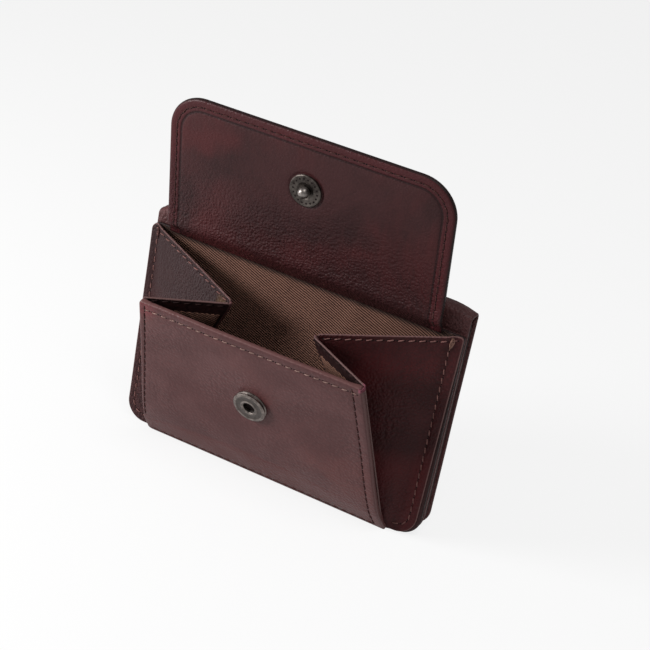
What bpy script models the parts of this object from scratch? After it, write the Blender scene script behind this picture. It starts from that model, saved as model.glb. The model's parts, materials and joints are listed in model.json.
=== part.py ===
"""A compact bifold leather wallet that stands on its bottom edge with its coin pocket open.

Lengths are in metres. X runs along the width, Y through the thickness with the front at -Y, and +Z is up.
The origin is in the middle of the pocket wall's bottom edge. The bifold's fold, the spine, is along the top.

The coin pocket is a folding box. Its front panel hinges at the bottom, and on each side two leather plates
fold inward between the wall and the panel. All four creases of a side meet at one point on the bottom
hinge, so the fold angles of the plates follow from the panel's opening by the triangle of directions that
solve_gusset works out.
"""

import math

import bpy
from mathutils import Matrix, Vector

MM = 0.001

# Gaps and edge finish
CLEAR = 0.3 * MM
EDGE_ROUND = 0.12 * MM

# Overall size of the folded wallet
BODY_WIDTH = 95.0 * MM
FRONT_HEIGHT = 61.5 * MM
SPINE_RISE = 6.3 * MM
FRONT_CORNER = 6.0 * MM
BACK_CORNER = 8.5 * MM

# Sheet thicknesses
WALL_SHEET = 1.0 * MM
MARGIN_SHEET = 0.8 * MM
LINING_SHEET = 0.5 * MM
LEAF_SHEET = 0.8 * MM
POCKET_SHEET = 0.5 * MM
COVER_SHEET = 1.2 * MM
GUSSET_SHEET = 0.6 * MM
PANEL_SHEET = 0.8 * MM
PANEL_LINING_SHEET = 0.4 * MM
FLAP_OUTER_SHEET = 0.8 * MM
FLAP_INNER_SHEET = 0.7 * MM

# Card and note pockets
POCKET_INSET = 0.7 * MM
UPPER_POCKET_DROP = 9.0 * MM
POCKET_STEP = 11.0 * MM
BILL_POCKET_DROP = 6.0 * MM
NOTCH_WIDTH = 3.0 * MM
NOTCH_DEPTH = 2.4 * MM
NOTCH_CORNER = 1.2 * MM
SPINE_CORNER = 0.9 * MM

# Coin pocket
BOTTOM_MARGIN = 9.1 * MM
TOP_MARGIN = 2.5 * MM
PANEL_TAPER = 5.4 * MM
PANEL_LENGTH = 56.8 * MM
PANEL_FOOT = 1.25 * MM
PANEL_TOP_CORNER = 1.0 * MM
PANEL_OPEN_ANGLE = math.radians(24.0)
MID_CREASE_LENGTH = 61.5 * MM
MID_CREASE_ANGLE = math.radians(27.75)
MID_CREASE_GAP = 0.3 * MM
GUSSET_TOE = 5.0 * MM
GUSSET_TIP_CORNER = 0.8 * MM
FOLD_RADIUS = 0.75 * MM

# Flap
FLAP_SIDE_INSET = 6.6 * MM
FLAP_FLARE = 0.4 * MM
FLAP_LENGTH = 42.9 * MM
FLAP_CORNER = 8.5 * MM
FLAP_BASE_CORNER = 0.8 * MM
FLAP_AXIS_DROP = 0.5 * MM
FLAP_BASE_FORWARD = 2.3 * MM
FLAP_LEAN = math.radians(11.9)

# Snap fastener
SNAP_REACH = 27.5 * MM
SNAP_BARREL_RADIUS = 2.2 * MM
SNAP_BORE_RADIUS = 1.7 * MM
STUD_RING_RADIUS = 4.55 * MM
STUD_FLANGE = 0.6 * MM
STUD_GROOVE_DEPTH = 0.2 * MM
STUD_RIM_SHARE = 0.86
STUD_BOSS_SHARE = 0.46
POST_RADIUS = 0.95 * MM
POST_BALL_RADIUS = 1.2 * MM
POST_LENGTH = 1.9 * MM
SOCKET_RING_RADIUS = 4.87 * MM
SOCKET_RISE = 1.4 * MM
SOCKET_ROUND = 0.5 * MM
SOCKET_MOUTH = 0.35 * MM
CAP_RADIUS = 5.6 * MM
CAP_RISE = 1.1 * MM
CAP_RIM = 0.35 * MM
EYELET_RADIUS = 4.2 * MM
EYELET_SHEET = 0.5 * MM

# Fineness of round shapes, in counts
ARC_STEPS = 8
BALL_STEPS = 8
TURN_STEPS = 40
FOLD_SIDES = 16
EDGE_SEGMENTS = 2
EDGE_ANGLE = math.radians(60)
MERGE_DISTANCE = 0.01 * MM

# Half widths, each counted in from the body's side
HALF_WIDTH = BODY_WIDTH / 2
CREASE_TOP_HALF = HALF_WIDTH - TOP_MARGIN
PANEL_BOTTOM_HALF = HALF_WIDTH - BOTTOM_MARGIN
PANEL_TOP_HALF = PANEL_BOTTOM_HALF - PANEL_TAPER
FLAP_BASE_HALF = HALF_WIDTH - FLAP_SIDE_INSET
FLAP_TOP_HALF = FLAP_BASE_HALF + FLAP_FLARE

# Layers through the front half, from its face back
WALL_FRONT_Y = -WALL_SHEET / 2
FACE_Y = WALL_FRONT_Y - CLEAR - MARGIN_SHEET
LINING_Y = WALL_FRONT_Y - CLEAR - LINING_SHEET
LEAF_Y = WALL_SHEET / 2 + CLEAR
UPPER_POCKET_Y = LEAF_Y + LEAF_SHEET + CLEAR
LOWER_POCKET_Y = UPPER_POCKET_Y + POCKET_SHEET + CLEAR
BILL_POCKET_Y = LOWER_POCKET_Y + POCKET_SHEET + CLEAR
BILL_LINING_Y = BILL_POCKET_Y + POCKET_SHEET + CLEAR
COVER_Y = BILL_LINING_Y + POCKET_SHEET + CLEAR
COVER_BACK_Y = COVER_Y + COVER_SHEET

# Heights of the cover and its spine
CREST_Z = FRONT_HEIGHT + SPINE_RISE
COVER_TOP_Z = CREST_Z - COVER_SHEET - CLEAR

# Closed stack of the coin pocket, counted from the front half's face towards -Y
BACK_PLATE_REF_Y = FACE_Y - CLEAR - GUSSET_SHEET
FRONT_PLATE_REF_Y = BACK_PLATE_REF_Y - CLEAR
PANEL_AXIS_Y = (BACK_PLATE_REF_Y + FRONT_PLATE_REF_Y) / 2
PANEL_INNER_Y = FRONT_PLATE_REF_Y - GUSSET_SHEET - CLEAR
PANEL_OUTER_Y = PANEL_INNER_Y - PANEL_LINING_SHEET - CLEAR - PANEL_SHEET

# The shut snap holds the flap off the panel by the height of its two rings
SNAP_STACK = CLEAR + STUD_FLANGE + CLEAR + SOCKET_RISE + CLEAR
FLAP_UPRIGHT_Y = FACE_Y - FLAP_BASE_FORWARD
FLAP_SHUT_Y = PANEL_OUTER_Y - SNAP_STACK
FLAP_AXIS_Y = (FLAP_UPRIGHT_Y + FLAP_SHUT_Y) / 2
FLAP_AXIS_Z = FRONT_HEIGHT - FLAP_AXIS_DROP
SNAP_Z = FLAP_AXIS_Z - SNAP_REACH


def clear_scene():
    """Remove every object of the open file."""
    for item in list(bpy.data.objects):
        bpy.data.objects.remove(item, do_unlink=True)


def make_material(name, colour, roughness, metallic=0.0):
    """A Principled material of one colour."""
    material = bpy.data.materials.new(name)
    material.use_nodes = True
    shader = material.node_tree.nodes["Principled BSDF"]
    shader.inputs["Base Color"].default_value = (*colour, 1.0)
    shader.inputs["Roughness"].default_value = roughness
    shader.inputs["Metallic"].default_value = metallic
    material.diffuse_color = (*colour, 1.0)
    return material


def make_collection(name):
    """A new collection in the scene."""
    collection = bpy.data.collections.new(name)
    bpy.context.scene.collection.children.link(collection)
    return collection


def pivot(name, collection, parent=None, matrix=None):
    """An empty whose place carries what hangs on it."""
    empty = bpy.data.objects.new(name, None)
    empty.empty_display_size = CLEAR
    collection.objects.link(empty)
    empty.parent = parent
    empty.matrix_local = matrix or Matrix()
    return empty


def filleted(corners):
    """Closed outline through (x, z, radius) corners, each rounded by an arc of its radius."""
    points = []
    count = len(corners)
    for index, (x, z, radius) in enumerate(corners):
        corner = Vector((x, z))
        before = (Vector(corners[index - 1][:2]) - corner).normalized()
        after = (Vector(corners[(index + 1) % count][:2]) - corner).normalized()
        if not radius:
            points.append(corner)
            continue
        half = before.angle(after) / 2
        centre = corner + (before + after).normalized() * (radius / math.sin(half))
        start = corner + before * (radius / math.tan(half)) - centre
        turn = math.copysign(math.pi - 2 * half, after.cross(before))
        for step in range(ARC_STEPS + 1):
            points.append(centre + Matrix.Rotation(turn * step / ARC_STEPS, 2) @ start)
    return points


def circle(x, z, radius):
    """Closed outline of a round hole."""
    steps = [math.tau * step / TURN_STEPS for step in range(TURN_STEPS)]
    return [Vector((x + radius * math.cos(angle), z + radius * math.sin(angle))) for angle in steps]


def sheet(name, outline, front_y, thickness, material, collection, parent=None, holes=(), rounded=True):
    """A flat piece standing in the XZ plane, with the face towards -Y at front_y."""
    curve = bpy.data.curves.new(name, "CURVE")
    curve.dimensions = "2D"
    curve.fill_mode = "BOTH"
    curve.extrude = thickness / 2
    for points in (outline, *holes):
        spline = curve.splines.new("POLY")
        spline.points.add(len(points) - 1)
        for target, point in zip(spline.points, points):
            target.co = (point.x, point.y, 0, 1)
        spline.use_cyclic_u = True
    curve.materials.append(material)
    piece = bpy.data.objects.new(name, curve)
    collection.objects.link(piece)
    piece.parent = parent
    piece.location = (0, front_y + thickness / 2, 0)
    piece.rotation_euler = (math.radians(90), 0, 0)
    if not rounded:
        return piece
    weld = piece.modifiers.new("Weld", "WELD")
    weld.merge_threshold = MERGE_DISTANCE
    bevel = piece.modifiers.new("Edges", "BEVEL")
    bevel.width = EDGE_ROUND
    bevel.segments = EDGE_SEGMENTS
    bevel.limit_method = "ANGLE"
    bevel.angle_limit = EDGE_ANGLE
    return piece


def turned(name, profile, seat, material, collection, parent, facing=1, ring=False):
    """A round piece turned from (radius, height) points, whose height runs out from its seat.

    Facing is 1 for a piece that looks towards -Y and -1 for one that looks towards +Y.
    """
    mesh = bpy.data.meshes.new(name)
    edges = [(index, index + 1) for index in range(len(profile) - 1)]
    if ring:
        edges.append((len(profile) - 1, 0))
    mesh.from_pydata([(radius, 0, height) for radius, height in profile], edges, [])
    mesh.materials.append(material)
    piece = bpy.data.objects.new(name, mesh)
    collection.objects.link(piece)
    piece.parent = parent
    piece.location = seat
    piece.rotation_euler = (math.radians(90) * facing, 0, 0)
    screw = piece.modifiers.new("Turn", "SCREW")
    screw.steps = TURN_STEPS
    screw.render_steps = TURN_STEPS
    screw.use_merge_vertices = True
    screw.merge_threshold = MERGE_DISTANCE
    return piece


def panel_outline(half_width, height, corner, foot=0.0):
    """Upright rectangle with rounded bottom corners."""
    return filleted([
        (-half_width, foot, corner),
        (half_width, foot, corner),
        (half_width, height, 0),
        (-half_width, height, 0),
    ])


def notched_outline(half_width, height, corner):
    """Pocket panel: rounded below, with a small step cut from each top corner."""
    ledge = height - NOTCH_DEPTH
    inner = half_width - NOTCH_WIDTH
    return filleted([
        (-half_width, 0, corner),
        (half_width, 0, corner),
        (half_width, ledge, 0),
        (inner, ledge, NOTCH_CORNER),
        (inner, height, NOTCH_CORNER),
        (-inner, height, NOTCH_CORNER),
        (-inner, ledge, NOTCH_CORNER),
        (-half_width, ledge, 0),
    ])


def signed_angle(axis, start, end):
    """Turn about axis that brings the plane through start onto the plane through end."""
    start = start - axis * start.dot(axis)
    end = end - axis * end.dot(axis)
    return math.atan2(axis.dot(start.cross(end)), start.dot(end))


def solve_gusset(side):
    """Directions of one side's creases and the turns of its two plates from flat to open.

    Side is 1 on the right and -1 on the left. Flat, all creases lie in one plane. Opening turns the
    panel about X, and the mid crease keeps its angle to the wall's crease and to the panel's.
    """
    wall_crease = Vector((side * (CREASE_TOP_HALF - PANEL_BOTTOM_HALF), 0, FRONT_HEIGHT)).normalized()
    panel_flat = Vector((side * (PANEL_TOP_HALF - PANEL_BOTTOM_HALF), 0, PANEL_LENGTH)).normalized()
    mid_flat = Vector((-side * math.sin(MID_CREASE_ANGLE), 0, math.cos(MID_CREASE_ANGLE)))
    opening = Matrix.Rotation(PANEL_OPEN_ANGLE, 3, "X")
    panel_crease = opening @ panel_flat
    wall_cosine = wall_crease.dot(mid_flat)
    panel_cosine = panel_flat.dot(mid_flat)
    spread = wall_crease.dot(panel_crease)
    span = 1 - spread * spread
    along_wall = (wall_cosine - spread * panel_cosine) / span
    along_panel = (panel_cosine - spread * wall_cosine) / span
    flat_part = wall_crease * along_wall + panel_crease * along_panel
    normal = wall_crease.cross(panel_crease).normalized()
    out_of_plane = math.sqrt(1 - flat_part.length_squared)
    choices = [flat_part + normal * out_of_plane, flat_part - normal * out_of_plane]
    mid_open = min(choices, key=lambda direction: side * direction.x)
    wall_turn = signed_angle(wall_crease, mid_flat, mid_open)
    panel_turn = signed_angle(panel_flat, mid_flat, opening.inverted() @ mid_open)
    return wall_crease, panel_flat, mid_flat, wall_turn, panel_turn


def plate_outline(crease, crease_length, mid, side):
    """Gusset plate between its side crease and the mid crease, from the toe to its top edge."""
    crease = Vector((crease.x, crease.z))
    mid = Vector((mid.x, mid.z))
    off_mid = Vector((mid.y, -mid.x)) * side * MID_CREASE_GAP
    return filleted([
        (*(mid * GUSSET_TOE + off_mid), 0),
        (*(crease * GUSSET_TOE), 0),
        (*(crease * crease_length), 0),
        (*(mid * MID_CREASE_LENGTH + off_mid), GUSSET_TIP_CORNER),
    ])


def build_front_half(collection, leather, twill, dark):
    """The wall of the coin pocket, its lining and margins, and the card pockets behind it."""
    sheet("coin_back_wall", panel_outline(HALF_WIDTH, FRONT_HEIGHT, FRONT_CORNER),
          WALL_FRONT_Y, WALL_SHEET, leather, collection)
    lining = filleted([
        (-(PANEL_BOTTOM_HALF - CLEAR), 0, 0),
        (PANEL_BOTTOM_HALF - CLEAR, 0, 0),
        (CREASE_TOP_HALF - CLEAR, FRONT_HEIGHT - CLEAR, 0),
        (-(CREASE_TOP_HALF - CLEAR), FRONT_HEIGHT - CLEAR, 0),
    ])
    sheet("coin_lining", lining, LINING_Y, LINING_SHEET, twill, collection)
    for side, word in ((-1, "left"), (1, "right")):
        margin = filleted([
            (side * PANEL_BOTTOM_HALF, 0, 0),
            (side * HALF_WIDTH, 0, FRONT_CORNER),
            (side * HALF_WIDTH, FRONT_HEIGHT, 0),
            (side * CREASE_TOP_HALF, FRONT_HEIGHT, 0),
        ])
        sheet(f"gusset_margin_{word}", margin, FACE_Y, MARGIN_SHEET, leather, collection)
    sheet("cover_front_leaf", panel_outline(HALF_WIDTH, COVER_TOP_Z, FRONT_CORNER),
          LEAF_Y, LEAF_SHEET, leather, collection)
    pocket_half = HALF_WIDTH - POCKET_INSET
    upper_height = FRONT_HEIGHT - UPPER_POCKET_DROP
    sheet("front_card_pocket_upper", notched_outline(pocket_half, upper_height, FRONT_CORNER),
          UPPER_POCKET_Y, POCKET_SHEET, dark, collection)
    sheet("front_card_pocket_lower", notched_outline(pocket_half, upper_height - POCKET_STEP, FRONT_CORNER),
          LOWER_POCKET_Y, POCKET_SHEET, dark, collection)


def build_bottom_fold(collection, leather):
    """The round fold of leather that joins the wall and the front panel below."""
    length = 2 * (PANEL_BOTTOM_HALF - CLEAR)
    bpy.ops.mesh.primitive_cylinder_add(vertices=FOLD_SIDES, radius=FOLD_RADIUS, depth=length)
    fold = bpy.context.object
    fold.name = "pocket_bottom_fold"
    fold.data.materials.append(leather)
    fold.location = (0, PANEL_AXIS_Y, FOLD_RADIUS)
    fold.rotation_euler = (0, math.radians(90), 0)
    fold.data.shade_smooth()
    fold.data.set_sharp_from_angle(angle=EDGE_ANGLE)
    for owner in list(fold.users_collection):
        owner.objects.unlink(fold)
    collection.objects.link(fold)


def build_cover(collection, leather, dark):
    """The cover's spine strip, and the back half that hangs from it."""
    front_edge = pivot("spine_front_edge", collection, None, Matrix.Translation((0, LEAF_Y, CREST_Z)))
    depth = COVER_BACK_Y - LEAF_Y
    strip = filleted([
        (0, -COVER_SHEET, 0),
        (depth, -COVER_SHEET, 0),
        (depth, 0, SPINE_CORNER),
        (0, 0, SPINE_CORNER),
    ])
    spine = sheet("cover_spine", strip, 0, BODY_WIDTH, leather, collection, front_edge)
    spine.location = (0, 0, 0)
    spine.rotation_euler = (math.radians(90), 0, math.radians(90))
    back_edge = pivot("spine_back_edge", collection, front_edge, Matrix.Translation((0, depth, 0)))
    back_frame = pivot("back_half_frame", collection, back_edge,
                       Matrix.Translation((0, -COVER_BACK_Y, -CREST_Z)))
    sheet("back_cover", panel_outline(HALF_WIDTH, COVER_TOP_Z, BACK_CORNER),
          COVER_Y, COVER_SHEET, leather, collection, back_frame)
    inner_half = HALF_WIDTH - POCKET_INSET
    sheet("bill_lining", panel_outline(inner_half, COVER_TOP_Z, BACK_CORNER),
          BILL_LINING_Y, POCKET_SHEET, dark, collection, back_frame)
    sheet("bill_pocket", notched_outline(inner_half, FRONT_HEIGHT - BILL_POCKET_DROP, BACK_CORNER),
          BILL_POCKET_Y, POCKET_SHEET, dark, collection, back_frame)


def build_front_panel(collection, leather, dark, metal):
    """The leaning front panel with its lining and the snap's socket."""
    hinge = pivot("front_panel_hinge", collection, None,
                  Matrix.Translation((0, PANEL_AXIS_Y, 0)) @ Matrix.Rotation(PANEL_OPEN_ANGLE, 4, "X"))
    slope = (PANEL_BOTTOM_HALF - PANEL_TOP_HALF) / PANEL_LENGTH
    foot_half = PANEL_BOTTOM_HALF - PANEL_FOOT * slope
    outline = filleted([
        (-foot_half, PANEL_FOOT, 0),
        (foot_half, PANEL_FOOT, 0),
        (PANEL_TOP_HALF, PANEL_LENGTH, PANEL_TOP_CORNER),
        (-PANEL_TOP_HALF, PANEL_LENGTH, PANEL_TOP_CORNER),
    ])
    hole = circle(0, SNAP_Z, SNAP_BARREL_RADIUS + CLEAR)
    outer = PANEL_OUTER_Y - PANEL_AXIS_Y
    inner = PANEL_INNER_Y - PANEL_AXIS_Y
    sheet("front_panel", outline, outer, PANEL_SHEET, leather, collection, hinge, [hole])
    sheet("front_panel_lining", outline, inner - PANEL_LINING_SHEET, PANEL_LINING_SHEET,
          dark, collection, hinge, [hole])
    through = outer - inner
    top = CLEAR + SOCKET_RISE
    socket = [
        (SNAP_BORE_RADIUS + SOCKET_MOUTH, top),
        (SOCKET_RING_RADIUS - SOCKET_ROUND, top),
        (SOCKET_RING_RADIUS, top - SOCKET_ROUND),
        (SOCKET_RING_RADIUS, CLEAR),
        (SNAP_BARREL_RADIUS, CLEAR),
        (SNAP_BARREL_RADIUS, through),
        (SNAP_BORE_RADIUS, through),
        (SNAP_BORE_RADIUS, top - SOCKET_MOUTH),
    ]
    turned("snap_socket", socket, (0, outer, SNAP_Z), metal, collection, hinge, 1, True)
    eyelet = [
        (SNAP_BORE_RADIUS, CLEAR + EYELET_SHEET),
        (EYELET_RADIUS, CLEAR + EYELET_SHEET),
        (EYELET_RADIUS, CLEAR),
        (SNAP_BORE_RADIUS, CLEAR),
    ]
    turned("socket_eyelet", eyelet, (0, inner, SNAP_Z), metal, collection, hinge, -1, True)
    return hinge


def build_gussets(collection, leather, panel_hinge):
    """Both sides' folding plates, each on an empty that turns it from flat to open."""
    wall_length = math.hypot(CREASE_TOP_HALF - PANEL_BOTTOM_HALF, FRONT_HEIGHT)
    panel_length = math.hypot(PANEL_BOTTOM_HALF - PANEL_TOP_HALF, PANEL_LENGTH)
    for side, word in ((-1, "left"), (1, "right")):
        wall_crease, panel_crease, mid, wall_turn, panel_turn = solve_gusset(side)
        foot = Vector((side * PANEL_BOTTOM_HALF, BACK_PLATE_REF_Y, 0))
        wall_fold = pivot(f"gusset_back_{word}_crease", collection, None,
                          Matrix.Translation(foot) @ Matrix.Rotation(wall_turn, 4, wall_crease))
        sheet(f"gusset_back_{word}", plate_outline(wall_crease, wall_length, mid, side),
              0, GUSSET_SHEET, leather, collection, wall_fold, rounded=False)
        foot = Vector((side * PANEL_BOTTOM_HALF, FRONT_PLATE_REF_Y - PANEL_AXIS_Y, 0))
        panel_fold = pivot(f"gusset_front_{word}_crease", collection, panel_hinge,
                           Matrix.Translation(foot) @ Matrix.Rotation(panel_turn, 4, panel_crease))
        sheet(f"gusset_front_{word}", plate_outline(panel_crease, panel_length, mid, side),
              -GUSSET_SHEET, GUSSET_SHEET, leather, collection, panel_fold, rounded=False)


def build_flap(collection, leather, metal):
    """The flap in two layers, with the snap's stud inside and its cap outside."""
    hinge = pivot("flap_hinge", collection, None,
                  Matrix.Translation((0, FLAP_AXIS_Y, FLAP_AXIS_Z)) @ Matrix.Rotation(FLAP_LEAN, 4, "X"))
    outline = filleted([
        (-FLAP_BASE_HALF, 0, FLAP_BASE_CORNER),
        (FLAP_BASE_HALF, 0, FLAP_BASE_CORNER),
        (FLAP_TOP_HALF, FLAP_LENGTH, FLAP_CORNER),
        (-FLAP_TOP_HALF, FLAP_LENGTH, FLAP_CORNER),
    ])
    hole = circle(0, SNAP_REACH, SNAP_BARREL_RADIUS + CLEAR)
    inner_y = FLAP_UPRIGHT_Y - FLAP_AXIS_Y
    outer_y = inner_y + FLAP_INNER_SHEET + CLEAR
    back_y = outer_y + FLAP_OUTER_SHEET
    sheet("flap_inner", outline, inner_y, FLAP_INNER_SHEET, leather, collection, hinge, [hole])
    sheet("flap_outer", outline, outer_y, FLAP_OUTER_SHEET, leather, collection, hinge, [hole])
    top = CLEAR + STUD_FLANGE
    through = inner_y - back_y
    ball_z = top + POST_LENGTH - POST_BALL_RADIUS
    neck = math.asin(POST_RADIUS / POST_BALL_RADIUS)
    swing = math.pi - neck
    ball = [
        (POST_BALL_RADIUS * math.sin(swing * step / BALL_STEPS),
         ball_z + POST_BALL_RADIUS * math.cos(swing * step / BALL_STEPS))
        for step in range(BALL_STEPS + 1)
    ]
    rim = STUD_RING_RADIUS * STUD_RIM_SHARE
    boss = STUD_RING_RADIUS * STUD_BOSS_SHARE
    stud = [
        *ball,
        (POST_RADIUS, top),
        (boss, top),
        (boss, top - STUD_GROOVE_DEPTH),
        (rim, top - STUD_GROOVE_DEPTH),
        (rim, top),
        (STUD_RING_RADIUS, top - STUD_GROOVE_DEPTH),
        (STUD_RING_RADIUS, CLEAR),
        (SNAP_BARREL_RADIUS, CLEAR),
        (SNAP_BARREL_RADIUS, through),
        (0, through),
    ]
    turned("snap_stud", stud, (0, inner_y, SNAP_REACH), metal, collection, hinge)
    cap = [
        (CAP_RADIUS * math.sin(math.radians(90) * step / BALL_STEPS),
         CLEAR + CAP_RIM + (CAP_RISE - CAP_RIM) * math.cos(math.radians(90) * step / BALL_STEPS))
        for step in range(BALL_STEPS + 1)
    ]
    turned("snap_cap", [*cap, (CAP_RADIUS, CLEAR), (0, CLEAR)], (0, back_y, SNAP_REACH),
           metal, collection, hinge, -1)


def main():
    clear_scene()
    wallet = make_collection("wallet")
    leather = make_material("burgundy_leather", (0.09, 0.035, 0.035), 0.45)
    dark = make_material("dark_inner_leather", (0.03, 0.012, 0.012), 0.55)
    twill = make_material("brown_twill", (0.12, 0.07, 0.05), 0.9)
    metal = make_material("antique_metal", (0.12, 0.11, 0.1), 0.4, 1.0)
    build_front_half(wallet, leather, twill, dark)
    build_bottom_fold(wallet, leather)
    build_cover(wallet, leather, dark)
    panel_hinge = build_front_panel(wallet, leather, dark, metal)
    build_gussets(wallet, leather, panel_hinge)
    build_flap(wallet, leather, metal)


main()
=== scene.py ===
"""The looks of a compact bifold leather wallet whose coin pocket stands open.

Every leather piece is a sheet. It is drawn flat, as an outline with its seams and creases, and then laid
along its bend or on its hinge. X is the width, -Y the front and +Z up, all in metres.
"""

import json
import math

import bpy
import numpy as np
from mathutils import Matrix, Vector
from mathutils.geometry import delaunay_2d_cdt


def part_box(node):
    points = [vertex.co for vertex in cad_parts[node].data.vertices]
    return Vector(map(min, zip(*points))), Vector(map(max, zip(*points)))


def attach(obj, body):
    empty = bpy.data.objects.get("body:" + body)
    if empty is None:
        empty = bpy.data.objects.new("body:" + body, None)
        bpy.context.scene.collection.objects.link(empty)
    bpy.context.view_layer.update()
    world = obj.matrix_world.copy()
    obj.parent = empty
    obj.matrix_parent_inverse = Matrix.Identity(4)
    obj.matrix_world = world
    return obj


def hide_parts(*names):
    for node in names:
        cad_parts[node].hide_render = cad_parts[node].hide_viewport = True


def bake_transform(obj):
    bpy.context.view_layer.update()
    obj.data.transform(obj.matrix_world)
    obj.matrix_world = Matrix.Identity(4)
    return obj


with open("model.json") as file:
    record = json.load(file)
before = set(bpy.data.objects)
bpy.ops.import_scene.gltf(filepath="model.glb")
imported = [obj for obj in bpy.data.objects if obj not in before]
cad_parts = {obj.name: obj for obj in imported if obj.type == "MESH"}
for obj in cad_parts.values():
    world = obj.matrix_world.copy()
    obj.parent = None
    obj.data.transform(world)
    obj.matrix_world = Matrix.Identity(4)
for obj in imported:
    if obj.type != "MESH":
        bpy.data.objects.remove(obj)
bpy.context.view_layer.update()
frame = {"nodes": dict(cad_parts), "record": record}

MM = 0.001
BURGUNDY, DARK_INNER = "burgundy_leather", "dark_inner_leather"
BROWN_CLOTH, ANTIQUE = "brown_twill", "antique_metal"


def low(node, axis):
    """Lowest coordinate of a frame node along an axis, 0 to 2."""
    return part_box(node)[0][axis]


def high(node, axis):
    """Highest coordinate of a frame node along an axis, 0 to 2."""
    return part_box(node)[1][axis]


BEHAVIOUR = frame["record"]["behaviour"]
JOINTS = {joint["name"]: joint for joint in BEHAVIOUR["joints"]}
RATIOS = {pair["joint"]: pair["ratio"] for pair in BEHAVIOUR["couplings"]}

# Places that the frame gives
HALF_WIDTH = high("coin_back_wall", 0)
FRONT_HEIGHT = high("coin_back_wall", 2)
WALL_FRONT_Y = low("coin_back_wall", 1)
FACE_Y = low("gusset_margin_right", 1)
LINING_Y = low("coin_lining", 1)
RISER_Y = low("cover_front_leaf", 1)
RISER_BACK_Y = high("cover_front_leaf", 1)
CREST_Z = high("cover_spine", 2)
COVER_Y = low("back_cover", 1)
COVER_BACK_Y = high("back_cover", 1)
PANEL_OPEN = -math.radians(JOINTS["front_panel_fold"]["range_deg"][0])
FLAP_TRAVEL = math.radians(JOINTS["flap_fold"]["range_deg"][1])
PANEL_AXIS = Vector(JOINTS["front_panel_fold"]["pos_m"])
FLAP_AXIS = Vector(JOINTS["flap_fold"]["pos_m"])
PANEL_PLACE = Matrix.Translation(PANEL_AXIS) @ Matrix.Rotation(PANEL_OPEN, 4, "X")
FLAP_PLACE = Matrix.Translation(FLAP_AXIS) @ Matrix.Rotation(math.pi - FLAP_TRAVEL, 4, "X")

# Outlines and thicknesses
FRONT_CORNER = 6.0 * MM
COVER_CORNER = 5.8 * MM
CREASE_FOOT_X = 38.4 * MM
CREASE_HEAD_X = 45.0 * MM
PANEL_TOP_X = 33.0 * MM
PANEL_LENGTH = 56.8 * MM
PANEL_FOOT = -0.05 * MM
PANEL_FOOT_X = CREASE_FOOT_X - PANEL_FOOT * ((CREASE_FOOT_X - PANEL_TOP_X) / PANEL_LENGTH)
PANEL_FRONT = -2.55 * MM
PANEL_BACK = -1.05 * MM
FLAP_BASE_X = 41.4 * MM
FLAP_TOP_X = 41.2 * MM
FLAP_LENGTH = 42.9 * MM
FLAP_CORNER = 10.3 * MM
FLAP_INNER = 2.1 * MM
FLAP_THICKNESS = 1.8 * MM
SNAP_REACH = 27.5 * MM
MID_LENGTH = 61.5 * MM
MID_ANGLE = math.radians(27.75)
GUSSET_TOE = 3.0 * MM
PLATE_SHEET = 0.6 * MM
FLOOR_REACH = 1.9 * MM
POCKET_INSET = 0.7 * MM

# Seams
STITCH_PITCH = 2.6 * MM
STITCH_LENGTH = 1.7 * MM
STITCH_SHARES = np.array([-0.5, -0.42, -0.2, 0.0, 0.2, 0.42, 0.5])
STITCH_LIFTS = np.array([-1.6, 0.1, 0.9, 1.1, 0.9, 0.1, -1.6]) * (0.1 * MM)
STITCH_RADII = np.array([0.6, 0.9, 1.0, 1.0, 1.0, 0.9, 0.6]) * (0.16 * MM)
STITCH_SLANT = 0.3 * MM
HOLE_SHARES = (-0.56, 0.56)
HOLE_LIFTS = (-0.25 * MM, 0.02 * MM)
HOLE_RADII = (0.24 * MM, 0.27 * MM)
SEAM_INSET = 2.3 * MM
SEAM_DENT = (0.13 * MM, 0.5 * MM)

# Distances between the points of seams, outlines and faces
SEAM_STEP = 0.4 * MM
FINE = 0.8 * MM
COARSE = 1.9 * MM
LOOSE = 3.0 * MM
EDGE_RINGS = (0.08, 0.28, 0.6, 1.0)
DENT_LINES = (-1.9, -1.0, -0.45, 0.0, 0.45, 1.0, 1.9)
ARC_STEPS = 14
SHARP_EDGE = math.radians(50)


class Shade:
    """A number in a material's nodes, so that shader maths reads as plain sums."""

    def __init__(self, recipe, socket):
        self.recipe = recipe
        self.socket = socket

    def _with(self, operation, first, second):
        return self.recipe.add("ShaderNodeMath", {"operation": operation}, {0: first, 1: second})

    def __add__(self, other):
        return self._with("ADD", self, other)

    def __sub__(self, other):
        return self._with("SUBTRACT", self, other)

    def __rsub__(self, other):
        return self._with("SUBTRACT", other, self)

    def __mul__(self, other):
        return self._with("MULTIPLY", self, other)

    def __pow__(self, other):
        return self._with("POWER", self, other)

    __radd__ = __add__
    __rmul__ = __mul__


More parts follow.
